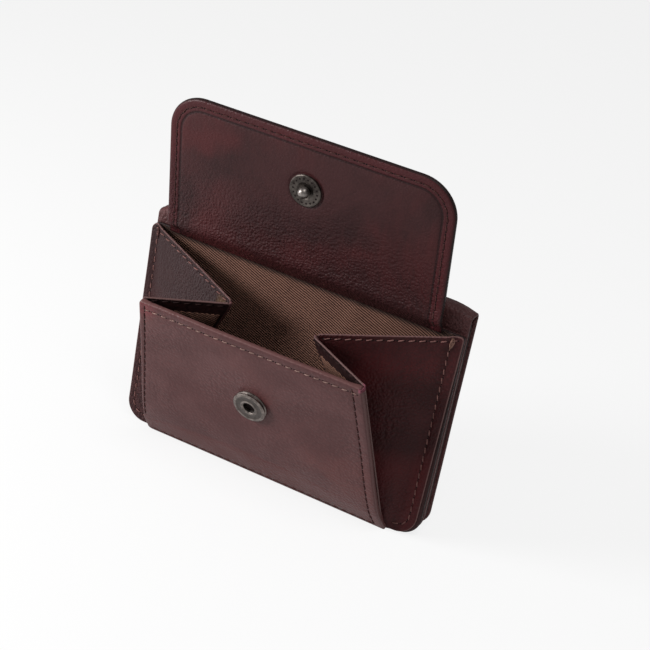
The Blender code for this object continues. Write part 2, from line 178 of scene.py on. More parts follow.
class Recipe:
    """One material's node tree, with its Principled shader, or the world's tree."""

    def __init__(self, name, world=None):
        self.material = world or bpy.data.materials.new(name)
        self.material.use_nodes = True
        self.tree = self.material.node_tree
        self.shader = self.tree.nodes.get("Principled BSDF")

    def add(self, kind, settings=None, sockets=None, output=0):
        """Add a node: its settings first, then the values or links of its sockets."""
        node = self.tree.nodes.new(kind)
        for key, value in (settings or {}).items():
            if key == "stops":
                self._set_stops(node.color_ramp, value)
            else:
                setattr(node, key, value)
        for key, value in (sockets or {}).items():
            self.feed(node.inputs[key], value)
        return Shade(self, node.outputs[output])

    @staticmethod
    def _set_stops(ramp, stops):
        while len(ramp.elements) < len(stops):
            ramp.elements.new(1.0)
        for element, (place, colour) in zip(ramp.elements, stops):
            element.position = place
            element.color = (*colour, 1.0)

    def feed(self, socket, value):
        """Link a shade to a socket, or set the socket's own value."""
        if isinstance(value, Shade):
            self.tree.links.new(value.socket, socket)
        elif isinstance(value, tuple) and len(value) == 3 and socket.type == "RGBA":
            socket.default_value = (*value, 1.0)
        else:
            socket.default_value = value

    def place(self, scale=(1000.0, 1000.0, 1000.0)):
        """Object coordinates in millimetres, stretched by scale."""
        where = self.add("ShaderNodeTexCoord", output="Object")
        return self.add("ShaderNodeVectorMath", {"operation": "MULTIPLY"}, {0: where, 1: scale})

    def axes(self, where, names):
        """The named coordinates of a place."""
        return [self.add("ShaderNodeSeparateXYZ", None, {0: where}, name) for name in names]

    def noise(self, where, scale, detail=2.0, roughness=0.5, distortion=0.0):
        """A noise of the given scale per millimetre, from 0 to 1."""
        return self.add("ShaderNodeTexNoise", None, {"Vector": where, "Scale": scale, "Detail": detail,
                                                     "Roughness": roughness, "Distortion": distortion})

    def sine(self, angle):
        """The sine of a shade."""
        return self.add("ShaderNodeMath", {"operation": "SINE"}, {0: angle})

    def span(self, value, start, end, low_value=0.0, high_value=1.0):
        """Map a value from start..end to low..high, with soft ends."""
        return self.add("ShaderNodeMapRange", {"interpolation_type": "SMOOTHSTEP"},
                        {"Value": value, "From Min": start, "From Max": end,
                         "To Min": low_value, "To Max": high_value})

    def blend(self, share, first, second):
        """Mix two colours."""
        return self.add("ShaderNodeMix", {"data_type": "RGBA"}, {0: share, 6: first, 7: second}, 2)

    def ray(self, kind):
        """1 for rays of a kind, such as Camera, and 0 for the others."""
        return self.add("ShaderNodeLightPath", None, None, f"Is {kind} Ray")

    def edge(self):
        """Distance from the sheet's edge, in millimetres."""
        return self.add("ShaderNodeAttribute", {"attribute_name": "edge"}, None, "Fac")

    def bump(self, height, strength, distance):
        """A bump of height, with its depth in metres."""
        return self.add("ShaderNodeBump", None,
                        {"Height": height, "Strength": strength, "Distance": distance})

    def finish(self, **sockets):
        """Feed the Principled shader and hand the material over."""
        for key, value in sockets.items():
            self.feed(self.shader.inputs[key.replace("_", " ")], value)
        return self.material


def toned(colour, *shares):
    """A colour with its channels multiplied by one share, or by three."""
    return tuple(channel * share for channel, share in zip(colour, shares * 3))


def leather(name, dark, body, red, rim, sheen_rough, grain_depth, grain_share=0.3, grain_levels=None,
            crease_at=None, fold_shade_height=None, pebbles=1.15, worn_at=None, shade_above=None, gloss=0.19):
    """Waxed calf leather: cloudy colour, red worn patches, pebbled grain and cut edges in the rim colour.

    grain_levels are the heights where the grain starts and is full, in mm. crease_at is the distance of
    a dark pressed line from the edge, and fold_shade_height the height below which the leather is painted
    darker and redder, as painted shade under the panel's fold.
    pebbles is the grain's scale, and worn_at the x and z, radius and colour of a rubbed spot. Between
    the heights in shade_above the leather is painted darker, as painted shade over its upper part.
    """
    recipe = Recipe(name)
    where = recipe.place()
    across, up = recipe.axes(where, "XZ")
    cloud = recipe.noise(where, 0.055, 3.0, 0.55, 0.4)
    patch = recipe.noise(where, 0.032, 2.0, 0.5, 0.8)
    fleck = recipe.noise(where, 1.1, 3.0, 0.65)
    streak = recipe.noise(recipe.place((420.0, 420.0, 60.0)), 1.0, 3.0, 0.6, 0.3)
    pebble = recipe.add("ShaderNodeTexVoronoi", {"feature": "SMOOTH_F1"},
                        {"Vector": where, "Scale": pebbles, "Smoothness": 0.35}, "Distance")
    if grain_levels is None:
        worn = recipe.span(recipe.noise(where, 0.06, 1.0), 0.42, 0.62, grain_share, 1.0)
    else:
        worn = recipe.span(up + fleck * 6.0, *grain_levels, grain_share, 1.0)
    tone = recipe.span(cloud + fleck * 0.22 + streak * 0.18 - pebble * worn * 0.4, 0.34, 0.84)
    redness = recipe.span(patch + streak * 0.12, 0.52, 0.78, 0.0, 0.8)
    colour = recipe.blend(redness, recipe.blend(tone, dark, body), red)
    # Painted shade under the panel's fold: darker, redder leather below it
    if fold_shade_height is not None:
        arch = up + across * across * 0.0029
        below = recipe.span(arch + fleck * 0.8, fold_shade_height + 1.0, fold_shade_height - 0.5, 0.0, 0.8)
        colour = recipe.blend(below, colour, toned(red, 0.78, 0.5, 0.5))
    # Painted shade: darker leather above the given heights
    if shade_above is not None:
        colour = recipe.blend(recipe.span(up + fleck * 3.0, *shade_above, 0.0, 0.85), colour, dark)
    if worn_at is not None:
        (x, z), radius, rubbed = worn_at
        off_x, off_z = across - x, up - z
        near = off_x * off_x + off_z * off_z + fleck * (0.8 * radius ** 2)
        spot = recipe.span(near, 0.3 * radius ** 2, 1.5 * radius ** 2, 0.85, 0.0)
        colour = recipe.blend(spot, colour, rubbed)
    colour = recipe.blend(recipe.span(recipe.edge(), 0.35, 1.5, 0.3, 0.0), colour, dark)
    if crease_at is not None:
        border = recipe.span(recipe.edge(), crease_at - 0.4, crease_at + 0.6, 0.5, 0.0)
        colour = recipe.blend(border, colour, toned(red, 1.05, 0.95, 1.1))
        off = recipe.edge() - crease_at
        colour = recipe.blend(recipe.span(off * off, 0.02, 0.2, 0.7, 0.0), colour, toned(dark, 0.35))
    colour = recipe.blend(recipe.span(recipe.edge(), 0.12, 0.34, 0.9, 0.0), colour, rim)
    pores = recipe.noise(where, 3.0, 3.0, 0.65)
    creases = recipe.noise(recipe.place((700.0, 700.0, 260.0)), 1.0, 4.0, 0.6, 0.8)
    relief = (creases * 0.45 + pores * 0.4 - pebble * 1.3) * worn
    rough = sheen_rough + recipe.span(cloud, 0.3, 0.7, 0.06, -0.05) + fleck * 0.08
    return recipe.finish(Base_Color=colour, Roughness=rough, Normal=recipe.bump(relief, 0.9, grain_depth),
                         Specular_IOR_Level=gloss)


def twill_cloth(name):
    """Brown twill: diagonal ribs with painted shade and highlight, a crossing thread and a shaded band under
    the flap.
    """
    recipe = Recipe(name)
    where = recipe.place()
    across, up = recipe.axes(where, "XZ")
    wobble = recipe.noise(where, 0.12, 2.0) * 0.8
    height = recipe.sine((across * 0.4 + up + wobble) * 9.0) * 0.5 + 0.5
    cross = recipe.sine((across * 1.7 - up) * 8.5)
    shade = recipe.noise(where, 0.16, 2.0) * 0.3 - 0.15
    tint = recipe.span(height + cross * 0.2 + shade + recipe.noise(where, 1.9, 2.0) * 0.35, 0.2, 1.1)
    # The colour follows the ribs' height: painted shade in the gaps, the weave's own tone, and a painted
    # highlight on the ribs' tops
    gap, weft, rib_highlight = (0.011, 0.004, 0.003), (0.085, 0.035, 0.024), (0.235, 0.118, 0.082)
    colour = recipe.add("ShaderNodeValToRGB", {"stops": [(0.0, gap), (0.5, weft), (1.0, rib_highlight)]}, {0: tint})
    colour = recipe.blend(recipe.span(up, 58.9, 60.5, 0.0, 0.85), colour, (0.008, 0.004, 0.003))
    return recipe.finish(Base_Color=colour, Roughness=0.85,
                         Normal=recipe.bump(height + cross * 0.2, 0.8, 0.00014), Specular_IOR_Level=0.2)


def thread(name, colour):
    """Waxed sewing thread."""
    recipe = Recipe(name)
    where = recipe.place()
    tint = recipe.blend(recipe.span(recipe.noise(where, 1.6, 2.0), 0.3, 0.7), colour, toned(colour, 0.55))
    return recipe.finish(Base_Color=tint, Roughness=0.7, Specular_IOR_Level=0.12,
                         Normal=recipe.bump(recipe.noise(where, 5.0, 2.0), 0.5, 0.00005))


def antique_metal(name, pale, dark, recess=None):
    """Dark antique plating with paler worn places, and darker between the two radii of a recess."""
    recipe = Recipe(name)
    where = recipe.place()
    wear = recipe.noise(where, 0.7, 3.0, 0.6)
    speck = recipe.noise(where, 3.2, 2.0, 0.6)
    colour = recipe.blend(recipe.span(wear + speck * 0.3, 0.45, 0.85), dark, pale)
    if recess is not None:
        x, y = recipe.axes(where, "XY")
        off = ((x * x + y * y) ** 0.5 - sum(recess) / 2) * (2 / (recess[1] - recess[0]))
        colour = recipe.blend(recipe.span(off * off, 0.75, 1.1, 0.75, 0.0), colour, toned(dark, 0.5))
    scratch = recipe.noise(recipe.place((4000.0, 900.0, 900.0)), 1.2, 3.0, 0.6)
    return recipe.finish(Base_Color=colour, Metallic=1.0, Roughness=0.33 + wear * 0.16,
                         Normal=recipe.bump(scratch * 0.6 + speck, 0.3, 0.000015))


def shade_of_hole(name):
    """Painted shade: a near-black colour that stands for the shade inside a hole."""
    recipe = Recipe(name)
    tint = recipe.blend(recipe.noise(recipe.place(), 1.0), (0.006, 0.004, 0.004), (0.012, 0.007, 0.007))
    return recipe.finish(Base_Color=tint, Roughness=0.9, Specular_IOR_Level=0.1)


SIDE_RIM = (0.13, 0.068, 0.064)
# Painted sheen: the panel's copy of the burgundy leather, also used on the pocket's floor, is painted lighter
# than the flap's copy, for the sheen that the panel catches
PANEL_SHEEN_LEATHER = leather("panel_leather", (0.062, 0.0225, 0.0225), (0.086, 0.0325, 0.0325),
                        (0.1, 0.033, 0.031), (0.1, 0.044, 0.042), 0.4, 0.0001, 0.55, fold_shade_height=10.4,
                        worn_at=((-32.0, 50.0), 5.0, (0.13, 0.03, 0.034)))
FLAP_LEATHER = leather("flap_leather", (0.018, 0.0054, 0.0058), (0.034, 0.01, 0.0105),
                       (0.052, 0.0095, 0.0102), (0.012, 0.006, 0.006), 0.4, 0.00024, 0.25, (92.0, 68.0), 3.5,
                       pebbles=1.5, gloss=0.15)
# Painted shade: the right side's copy of the side leather is darker and redder than the left's, for the shade
# that the right side lies in
RIGHT_SHADED_LEATHER = leather("right_side_leather", (0.024, 0.0046, 0.005), (0.044, 0.0076, 0.0084),
                        (0.07, 0.0084, 0.0096), SIDE_RIM, 0.44, 0.0002, 0.6, pebbles=1.4, gloss=0.14)
# The left side's leather: painted shade over its upper part, lighter below
LEFT_LEATHER = leather("left_side_leather", (0.0215, 0.0088, 0.0094), (0.056, 0.0205, 0.0205),
                       (0.07, 0.021, 0.021), SIDE_RIM, 0.4, 0.00024, 0.6, pebbles=1.4, gloss=0.12,
                       worn_at=((-16.3, 52.0), 2.6, (0.075, 0.038, 0.018)), shade_above=(34.0, 47.0))
# Partly painted light: the cover's leather is a greyer brown, painted lighter still for the light on the
# riser beside the flap
COVER_LEATHER = leather("cover_leather", (0.056, 0.0205, 0.0205), (0.092, 0.035, 0.035),
                        (0.1, 0.03, 0.03), (0.07, 0.03, 0.03), 0.42, 0.00022, 0.5, pebbles=1.4)
INNER_LEATHER = leather("inner_leather", (0.012, 0.005, 0.005), (0.028, 0.0105, 0.0105),
                        (0.04, 0.01, 0.01), (0.018, 0.008, 0.008), 0.5, 0.00012, 0.5)
POCKET_LEATHER = leather("pocket_leather", (0.014, 0.006, 0.006), (0.03, 0.011, 0.011),
                         (0.044, 0.011, 0.011), (0.12, 0.064, 0.06), 0.48, 0.00014, 0.5)
CREASE_LEATHER = leather("crease_leather", (0.045, 0.014, 0.014), (0.09, 0.03, 0.03),
                         (0.12, 0.03, 0.03), (0.1, 0.04, 0.04), 0.42, 0.0001)
TWILL = twill_cloth("brown_twill")
SEAM_THREAD = thread("seam_thread", (0.2, 0.095, 0.085))
DARK_THREAD = thread("dark_thread", (0.06, 0.023, 0.021))
FAINT_THREAD = thread("faint_thread", (0.03, 0.013, 0.012))
TAN_THREAD = thread("tan_thread", (0.24, 0.13, 0.1))
PALE_THREAD = thread("pale_thread", (0.24, 0.15, 0.13))
TACK_THREAD = thread("tack_thread", (0.19, 0.06, 0.08))
# Painted reflection: the socket's copy of the plating is painted lighter for the bright reflection its face
# catches, and the stud's copy darker for its dim one
METAL = antique_metal("snap_metal", (0.16, 0.138, 0.127), (0.058, 0.05, 0.045))
SOCKET_METAL = antique_metal("socket_metal", (0.24, 0.205, 0.188), (0.1, 0.085, 0.078), (2.5, 4.0))
STUD_METAL = antique_metal("stud_metal", (0.09, 0.077, 0.069), (0.036, 0.03, 0.027))
BALL_METAL = antique_metal("ball_metal", (0.34, 0.31, 0.29), (0.15, 0.13, 0.12))
# Painted shade for the needle holes, the stud's pits and the socket's bore
HOLE_SHADE = shade_of_hole("painted_hole_shade")


def signed_area(outline):
    """Area of a closed outline, positive where it runs counterclockwise."""
    following = np.roll(outline, -1, axis=0)
    return np.sum(outline[:, 0] * following[:, 1] - following[:, 0] * outline[:, 1]) / 2


def filleted(corners):
    """Closed outline through (x, z, radius) corners, counterclockwise, each rounded by an arc."""
    points = []
    for index, (x, z, radius) in enumerate(corners):
        corner = Vector((x, z))
        if not radius:
            points.append(corner)
            continue
        before = (Vector(corners[index - 1][:2]) - corner).normalized()
        after = (Vector(corners[(index + 1) % len(corners)][:2]) - corner).normalized()
        half = before.angle(after) / 2
        centre = corner + (before + after).normalized() * (radius / math.sin(half))
        start = corner + before * (radius / math.tan(half)) - centre
        turn = math.copysign(math.pi - 2 * half, after.cross(before))
        points += [centre + Matrix.Rotation(turn * step / ARC_STEPS, 2) @ start
                   for step in range(ARC_STEPS + 1)]
    outline = np.array([tuple(point) for point in points])
    return outline if signed_area(outline) > 0 else outline[::-1].copy()


def trapezoid(foot_half, foot_z, foot_radius, head_half, head_z, head_radius):
    """Outline of a sheet that is the same on both sides, from its foot to its head."""
    return filleted([(-foot_half, foot_z, foot_radius), (foot_half, foot_z, foot_radius),
                     (head_half, head_z, head_radius), (-head_half, head_z, head_radius)])


def segments(path, closed):
    """The pairs of points that follow each other on a path."""
    path = np.asarray(path, float)
    ends = np.vstack([path, path[:1]]) if closed else path
    return list(zip(ends[:-1], ends[1:]))


def walk(path, step, closed=False):
    """Points along a path at most a step apart, with the path's own corners."""
    points = []
    for start, end in segments(path, closed):
        count = max(1, math.ceil(np.linalg.norm(end - start) / step))
        points.extend(start + (end - start) * index / count for index in range(count))
    if not closed:
        points.append(end)
    return np.array(points)


def distance_to(points, path, closed=False):
    """Distance from each point to a path."""
    best = np.full(len(points), np.inf)
    for start, end in segments(path, closed):
        along = end - start
        share = np.clip((points - start) @ along / max(along @ along, 1e-18), 0, 1)
        best = np.minimum(best, np.linalg.norm(points - start - share[:, None] * along, axis=1))
    return best


def is_inside(points, outline):
    """Whether each point lies inside a closed outline."""
    inside = np.zeros(len(points), bool)
    for (x0, z0), (x1, z1) in segments(outline, True):
        if z0 == z1:
            continue
        crosses = (z0 > points[:, 1]) != (z1 > points[:, 1])
        inside ^= crosses & (points[:, 0] < (x1 - x0) * (points[:, 1] - z0) / (z1 - z0) + x0)
    return inside


def leftward(ahead):
    """Unit vectors a quarter turn to the left of the given ones."""
    ahead = ahead / np.maximum(np.linalg.norm(ahead, axis=1)[:, None], 1e-12)
    return np.stack([-ahead[:, 1], ahead[:, 0]], axis=1)


def inset_path(outline, inset, above=-math.inf, below=math.inf):
    """The outline moved inward, with only the points between two heights."""
    points = walk(outline, FINE, closed=True)
    moved = points + leftward(np.roll(points, -1, axis=0) - np.roll(points, 1, axis=0)) * inset
    good = distance_to(moved, outline, closed=True) > inset * 0.985
    good &= is_inside(moved, outline) & (moved[:, 1] > above) & (moved[:, 1] < below)
    first = int(np.argmin(good)) if not good.all() else 0
    order = np.roll(np.arange(len(moved)), -first)
    return moved[[index for index in order if good[index]]]


def triangulate(border, extra):
    """Triangles over the inside of a border loop and its extra points."""
    count = len(border)
    points = [Vector(point) for point in np.vstack([border, extra])]
    loop = [(index, (index + 1) % count) for index in range(count)]
    inside_only, tolerance = 1, 1e-9
    found, _, faces, origins, _, _ = delaunay_2d_cdt(points, loop, [], inside_only, tolerance)
    faces = [face for face in faces if len(face) == 3]
    if signed_area(np.array([tuple(found[index]) for index in faces[0]])) < 0:
        faces = [face[::-1] for face in faces]
    return [[origins[index][0] if origins[index] else 0 for index in face] for face in faces]


def spread(outline, nearest, step):
    """Points in a staggered grid inside the outline, none nearer to it than nearest."""
    lowest, highest = outline.min(axis=0), outline.max(axis=0)
    rows = np.arange(lowest[1], highest[1], step * 0.87)
    points = np.array([(x + (row % 2) * step / 2, z) for row, z in enumerate(rows)
                       for x in np.arange(lowest[0], highest[0], step)])
    points = points[is_inside(points, outline)]
    return points[distance_to(points, outline, closed=True) > nearest]


def hold(piece, bodies, *nodes, slot=BURGUNDY):
    """Put a piece on its body, or leave it baked in place where it spans a fold, in the place of frame nodes.
    """
    if isinstance(bodies, str):
        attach(piece, bodies)
    else:
        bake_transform(piece)
    if nodes:
        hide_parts(*nodes)
    return piece


def linked(name, mesh):
    """A mesh's object, in the scene."""
    piece = bpy.data.objects.new(name, mesh)
    bpy.context.scene.collection.objects.link(piece)
    return piece


def mesh_piece(name, vertices, faces, materials, tints=None, smooth=True):
    """A mesh object, with one material index a face in tints."""
    mesh = bpy.data.meshes.new(name)
    mesh.from_pydata([tuple(vertex) for vertex in vertices], [], faces)
    for material in materials:
        mesh.materials.append(material)
    if tints is not None:
        mesh.polygons.foreach_set("material_index", tints)
    if smooth:
        mesh.shade_smooth()
    return linked(name, mesh)


class Sheet:
    """A piece of leather or cloth: a flat outline with two faces, and the way it is laid.

    front and back are the depths of the faces. Dents are (path, depth, width) lines pressed into the
    front face, and back_dents into the back face. wave moves both faces. lay takes flat (x, depth, z)
    points to their place at rest. cut_from is the outline that the edges are rounded along, where the
    sheet is only a part of it.
    """

    def __init__(self, outline, front, back, lay, edge, dents=(), back_dents=(), wave=None, step=COARSE,
                 cut_from=None):
        self.outline = outline
        self.rim = outline if cut_from is None else cut_from
        self.faces = (front, back)
        self.lay = lay
        self.edge = min(edge, abs(back - front) / 2)
        self.dents = (dents, back_dents)
        self.wave = wave
        self.step = step

    def depth(self, points, behind=False):
        """Depth of a face at flat points."""
        distance = distance_to(points, self.rim, closed=True)
        over = np.clip(self.edge - distance, 0, self.edge)
        drop = self.edge - np.sqrt(np.clip(self.edge ** 2 - over ** 2, 0, None))
        for path, depth, width in self.dents[behind]:
            drop = drop + depth * np.exp(-(distance_to(points, path) / width) ** 2)
        face = self.faces[behind] + (-drop if behind else drop)
        if self.wave is not None:
            face = face + self.wave(points[:, 0], points[:, 1])
        return face

    def spot(self, points, behind=False, lift=0.0):
        """Places at rest of flat points on a face, lifted off it."""
        points = np.atleast_2d(points)
        depth = self.depth(points, behind) + (lift if behind else -lift)
        return self.lay(np.column_stack([points[:, 0], depth, points[:, 1]]))

    def _net(self, border, behind):
        """Inner points of a face, close together at its edge and dents, and the face's triangles."""
        groups = [inset_path(self.outline, self.edge * share) for share in EDGE_RINGS]
        for path, _, width in self.dents[behind]:
            path = walk(path, FINE)
            side = leftward(np.gradient(path, axis=0))
            groups.extend(path + side * width * share for share in DENT_LINES)
        groups.append(spread(self.outline, self.edge * 1.5 + self.step * 0.4, self.step))
        points = np.vstack(groups)
        points = points[is_inside(points, self.outline)]
        points = points[distance_to(points, self.outline, closed=True) > self.edge * 0.04]
        cell = 0.05 * MM
        _, first = np.unique(np.round(points / cell).astype(int), axis=0, return_index=True)
        points = points[np.sort(first)]
        return points, triangulate(border, points)

    def build(self, name, material, bodies, *nodes, slot=BURGUNDY):
        """The sheet as a closed mesh object, held by its bodies."""
        border = walk(self.outline, FINE, closed=True)
        count = len(border)
        front_points, front_faces = self._net(border, False)
        back_points, back_faces = self._net(border, True)
        front_flat = np.vstack([border, front_points])
        back_flat = np.vstack([border, back_points])
        shared = count if abs(self.faces[1] - self.faces[0]) - 2 * self.edge < 1e-7 else 0
        start = len(front_flat)
        back_index = [*range(shared), *range(start, start + len(back_flat) - shared)]
        faces = front_faces + [[back_index[index] for index in face[::-1]] for face in back_faces]
        if not shared:
            faces += [(start + index, start + (index + 1) % count, (index + 1) % count, index)
                      for index in range(count)]
        vertices = np.vstack([self.spot(front_flat), self.spot(back_flat, True)[shared:]])
        piece = mesh_piece(name, vertices, faces, [material])
        flats = np.vstack([front_flat, back_flat[shared:]])
        distance = distance_to(flats, self.rim, closed=True) / MM
        attribute = piece.data.attributes.new("edge", "FLOAT", "POINT")
        attribute.data.foreach_set("value", distance.astype(np.float32))
        piece.data.set_sharp_from_angle(angle=SHARP_EDGE)
        return hold(piece, bodies, *nodes, slot=slot)


def placed(matrix):
    """A lay that puts flat points on a hinge's frame."""
    array = np.array(matrix)
    return lambda points: points @ array[:3, :3].T + array[:3, 3]


class Strands:
    """Round tubes that make up one piece, each with the index of its material."""

    def __init__(self):
        self.vertices, self.faces, self.tints = [], [], []

    def add(self, points, radii, sides=7, tint=0):
        """Add a closed round tube through points."""
        points = np.asarray(points)
        ahead = np.gradient(points, axis=0)
        ahead /= np.linalg.norm(ahead, axis=1)[:, None]
        slant = np.array([0.3, 0.5, 0.8])
        across = np.cross(ahead, slant)
        across /= np.linalg.norm(across, axis=1)[:, None]
        angles = np.linspace(0, math.tau, sides, endpoint=False)
        first = len(self.vertices)
        for point, side, up, radius in zip(points, across, np.cross(ahead, across), radii):
            self.vertices.extend(point + radius * (math.cos(angle) * side + math.sin(angle) * up)
                                 for angle in angles)
        last = len(self.vertices) - sides
        corners = [(index, (index + 1) % sides) for index in range(sides)]
        faces = [(ring + one, ring + two, ring + sides + two, ring + sides + one)
                 for ring in range(first, last, sides) for one, two in corners]
        faces += [tuple(range(first, first + sides))[::-1], tuple(range(last, last + sides))]
        self.faces += faces
        self.tints += [tint] * len(faces)

    def build(self, name, materials, smooth=True):
        """The tubes as one mesh object."""
        return mesh_piece(name, self.vertices, self.faces, materials, self.tints, smooth)


def sew(name, surface, path, bodies, behind=False, material=SEAM_THREAD, slot=BURGUNDY):
    """A row of stitches along a flat path on one face of a sheet, with needle holes at their ends as small
    sunk blobs of painted shade.
    """
    path = walk(path, SEAM_STEP)
    travelled = np.concatenate([[0], np.cumsum(np.linalg.norm(np.diff(path, axis=0), axis=1))])
    count = max(1, int(travelled[-1] // STITCH_PITCH))
    strands = Strands()

    def at(middle, share):
        distance = middle + share * STITCH_LENGTH
        return np.array([np.interp(distance, travelled, path[:, axis]) for axis in (0, 1)])

    for index in range(count):
        middle = (index + 0.5) * (travelled[-1] / count)
        flats = [at(middle, share) for share in STITCH_SHARES]
        lean = flats[-1] - flats[0]
        lean = np.array([-lean[1], lean[0]]) / max(np.linalg.norm(lean), 1e-9)
        flats = [flat + lean * share * STITCH_SLANT for flat, share in zip(flats, STITCH_SHARES)]
        spots = [surface.spot(flat, behind, rise)[0] for flat, rise in zip(flats, STITCH_LIFTS)]
        strands.add(spots, STITCH_RADII)
        # Each needle hole is a small sunk blob of painted shade
        for share in HOLE_SHARES:
            ends = [surface.spot(at(middle, share), behind, lift)[0] for lift in HOLE_LIFTS]
            strands.add(ends, HOLE_RADII, 8, 1)
    return hold(strands.build(name, [material, HOLE_SHADE]), bodies, slot=slot)


def rope(name, paths, radius, material, bodies, ends=0.5, sides=10):
    """Round strands along paths of points at rest, each tapered at its ends."""
    strands = Strands()
    for path in paths:
        shares = np.linspace(0, 1, len(path))
        taper = np.minimum(1, ends + (1 - ends) * np.minimum(shares, 1 - shares) * len(path) / 2)
        strands.add(path, radius * taper, sides)
    hold(strands.build(name, [material]), bodies)


def tack(name, corner, along, outward, inward, body):
    """A bar tack: a few threads wrapped over an edge at a corner."""
    paths = []
    for turn in range(3):
        start = corner + along * (turn * 0.42 * MM)
        swell = 0.8 * MM - 0.12 * MM * (turn - 1) ** 2 / 2
        paths.append([start + outward * (swell * math.sin(angle)) - inward * (1.15 * MM * math.cos(angle))
                      + along * (0.12 * MM * math.sin(3 * angle + turn))
                      for angle in np.linspace(-0.1, 1.1, 11) * math.pi])
    rope(name, paths, 0.22 * MM, TACK_THREAD, body, 0.6, 8)


def stretch_cloth(name, cloth, carrier, body, *nodes):
    """A sheet of twill that lies stretched on its carrier."""
    piece = cloth.build(name, TWILL, body, *nodes, slot=BROWN_CLOTH)
    size = cloth.outline.max(axis=0) - cloth.outline.min(axis=0)
    float(abs(signed_area(cloth.outline)))


def ripple(size, reach, seed):
    """A soft uneven wave for a sheet: sums of a few slow sines."""
    shifts = np.random.default_rng(seed).uniform(0, math.tau, 6)

    def wave(x, z):
        u, v = x / reach, z / reach
        total = np.sin(2.1 * u + 1.3 * v + shifts[0]) + 0.7 * np.sin(1.2 * u - 2.6 * v + shifts[1])
        total = total + 0.45 * np.sin(4.1 * u + 0.8 * v + shifts[2])
        total = total + 0.35 * np.sin(0.9 * u + 4.7 * v + shifts[3])
        return size * total / 2.5

    return wave


def make_front_panel():
    """The leaning front panel: thick turned edges, its seams and a soft bend near the foot."""
    outline = filleted([
        (-PANEL_FOOT_X, PANEL_FOOT, 1.4 * MM), (PANEL_FOOT_X + 0.3 * MM, PANEL_FOOT, 0.4 * MM),
        (PANEL_TOP_X, PANEL_LENGTH, 0.9 * MM), (-PANEL_TOP_X, PANEL_LENGTH, 1.2 * MM),
    ])
    left_inset, right_inset = 1.7 * MM, 2.7 * MM
    left_foot, right_foot = left_inset - PANEL_FOOT_X, PANEL_FOOT_X - right_inset
    left_top, right_top = left_inset - PANEL_TOP_X, PANEL_TOP_X - right_inset
    top_x, top_z = PANEL_TOP_X - 0.8 * MM, PANEL_LENGTH - 2.5 * MM
    foot_z, side_top_z = PANEL_FOOT + 1.6 * MM, PANEL_LENGTH - 1 * MM
    seams = {
        "top": [(-top_x, top_z), (top_x, top_z)],
        "left": [(left_foot, foot_z + 8 * MM), (left_top, side_top_z)],
        "right": [(right_foot, foot_z), (right_top, side_top_z)],
        "foot": [(left_foot, foot_z), (right_foot, foot_z)],
    }
    ridge_z, ridge_drop, ridge_high, ridge_round = 12.0 * MM, 4.6 * MM, 1.3 * MM, 0.5 * MM
    foot_back, foot_reach = 2.25 * MM, 26 * MM
    flow = ripple(0.16 * MM, 17 * MM, 3)

    def wave(x, z):
        ridge = ridge_z - ridge_drop * (x / PANEL_FOOT_X) ** 2
        from_ridge = z - ridge
        fall = (np.sqrt(from_ridge ** 2 + ridge_round ** 2) - ridge_round) / (ridge - PANEL_FOOT)
        swell = np.where(from_ridge < 0, np.clip(1 - fall, 0, 1), np.exp(-(from_ridge / (15 * MM)) ** 2))
        tuck = np.clip(1 - (z - PANEL_FOOT) / foot_reach, 0, 1) ** 1.6
        return flow(x, z) * (1 - tuck) - ridge_high * swell + foot_back * tuck

    dents = [(path, 0.12 * MM, 0.5 * MM) for path in seams.values()]
    hem_inset, hem_sheet, hem_width = 0.9 * MM, 0.4 * MM, 1.5 * MM
    hems = [([(side * (PANEL_FOOT_X - hem_inset), PANEL_FOOT),
              (side * (PANEL_TOP_X - hem_inset), PANEL_LENGTH)], -hem_sheet, hem_width) for side in (-1, 1)]
    surface = Sheet(outline, PANEL_FRONT, PANEL_BACK, placed(PANEL_PLACE), 0.6 * MM, dents, hems, wave)
    surface.build("front_panel_leather", PANEL_SHEEN_LEATHER, "coin_front", "front_panel", "front_panel_lining")
    for word, path in seams.items():
        sew(f"panel_seam_{word}", surface, path, "coin_front",
            material=PALE_THREAD if word == "top" else DARK_THREAD)
    gap, band = 1.2 * MM, 5.0 * MM
    lining = trapezoid(PANEL_FOOT_X - gap, PANEL_FOOT + 1 * MM, 0,
                       PANEL_TOP_X - gap, PANEL_LENGTH - band, 0.4 * MM)
    cloth = Sheet(lining, PANEL_BACK - 0.15 * MM, PANEL_BACK + 0.12 * MM, placed(PANEL_PLACE), 0.1 * MM,
                  wave=wave, step=LOOSE)
    stretch_cloth("front_panel_twill", cloth, "front_panel_leather", "coin_front")
    turn = np.array(PANEL_PLACE)[:3, :3]
    corner = surface.spot((PANEL_TOP_X - 0.5 * MM, PANEL_LENGTH - 0.2 * MM))[0] + turn @ (0, 0.85 * MM, 0)
    tack("panel_tack", corner, turn @ (0.03, 0, -1.0), turn @ (1.0, 0, 0), turn @ (0, 1.0, 0), "coin_front")


def make_pocket_floor():
    """The strip of leather under the pocket, from the wall to the panel's foot."""
    half = PANEL_FOOT_X - 0.5 * MM
    curl_reach, curl_rise = 1.2 * MM, 0.55 * MM

    def lay(points):
        curl = np.clip((points[:, 2] - FLOOR_REACH + curl_reach) / curl_reach, 0, 1)
        return np.column_stack([points[:, 0], WALL_FRONT_Y - 0.3 * MM - points[:, 2],
                                points[:, 1] + curl_rise * curl * curl])

    strip = Sheet(trapezoid(half, 0, 0, half, FLOOR_REACH, 0), 0.03 * MM, 0.68 * MM, lay, 0.3 * MM)
    strip.build("pocket_floor_leather", PANEL_SHEEN_LEATHER,
                ("front_half", "coin_front", (0, WALL_FRONT_Y, 0), (0, FACE_Y, 0)), "pocket_bottom_fold")


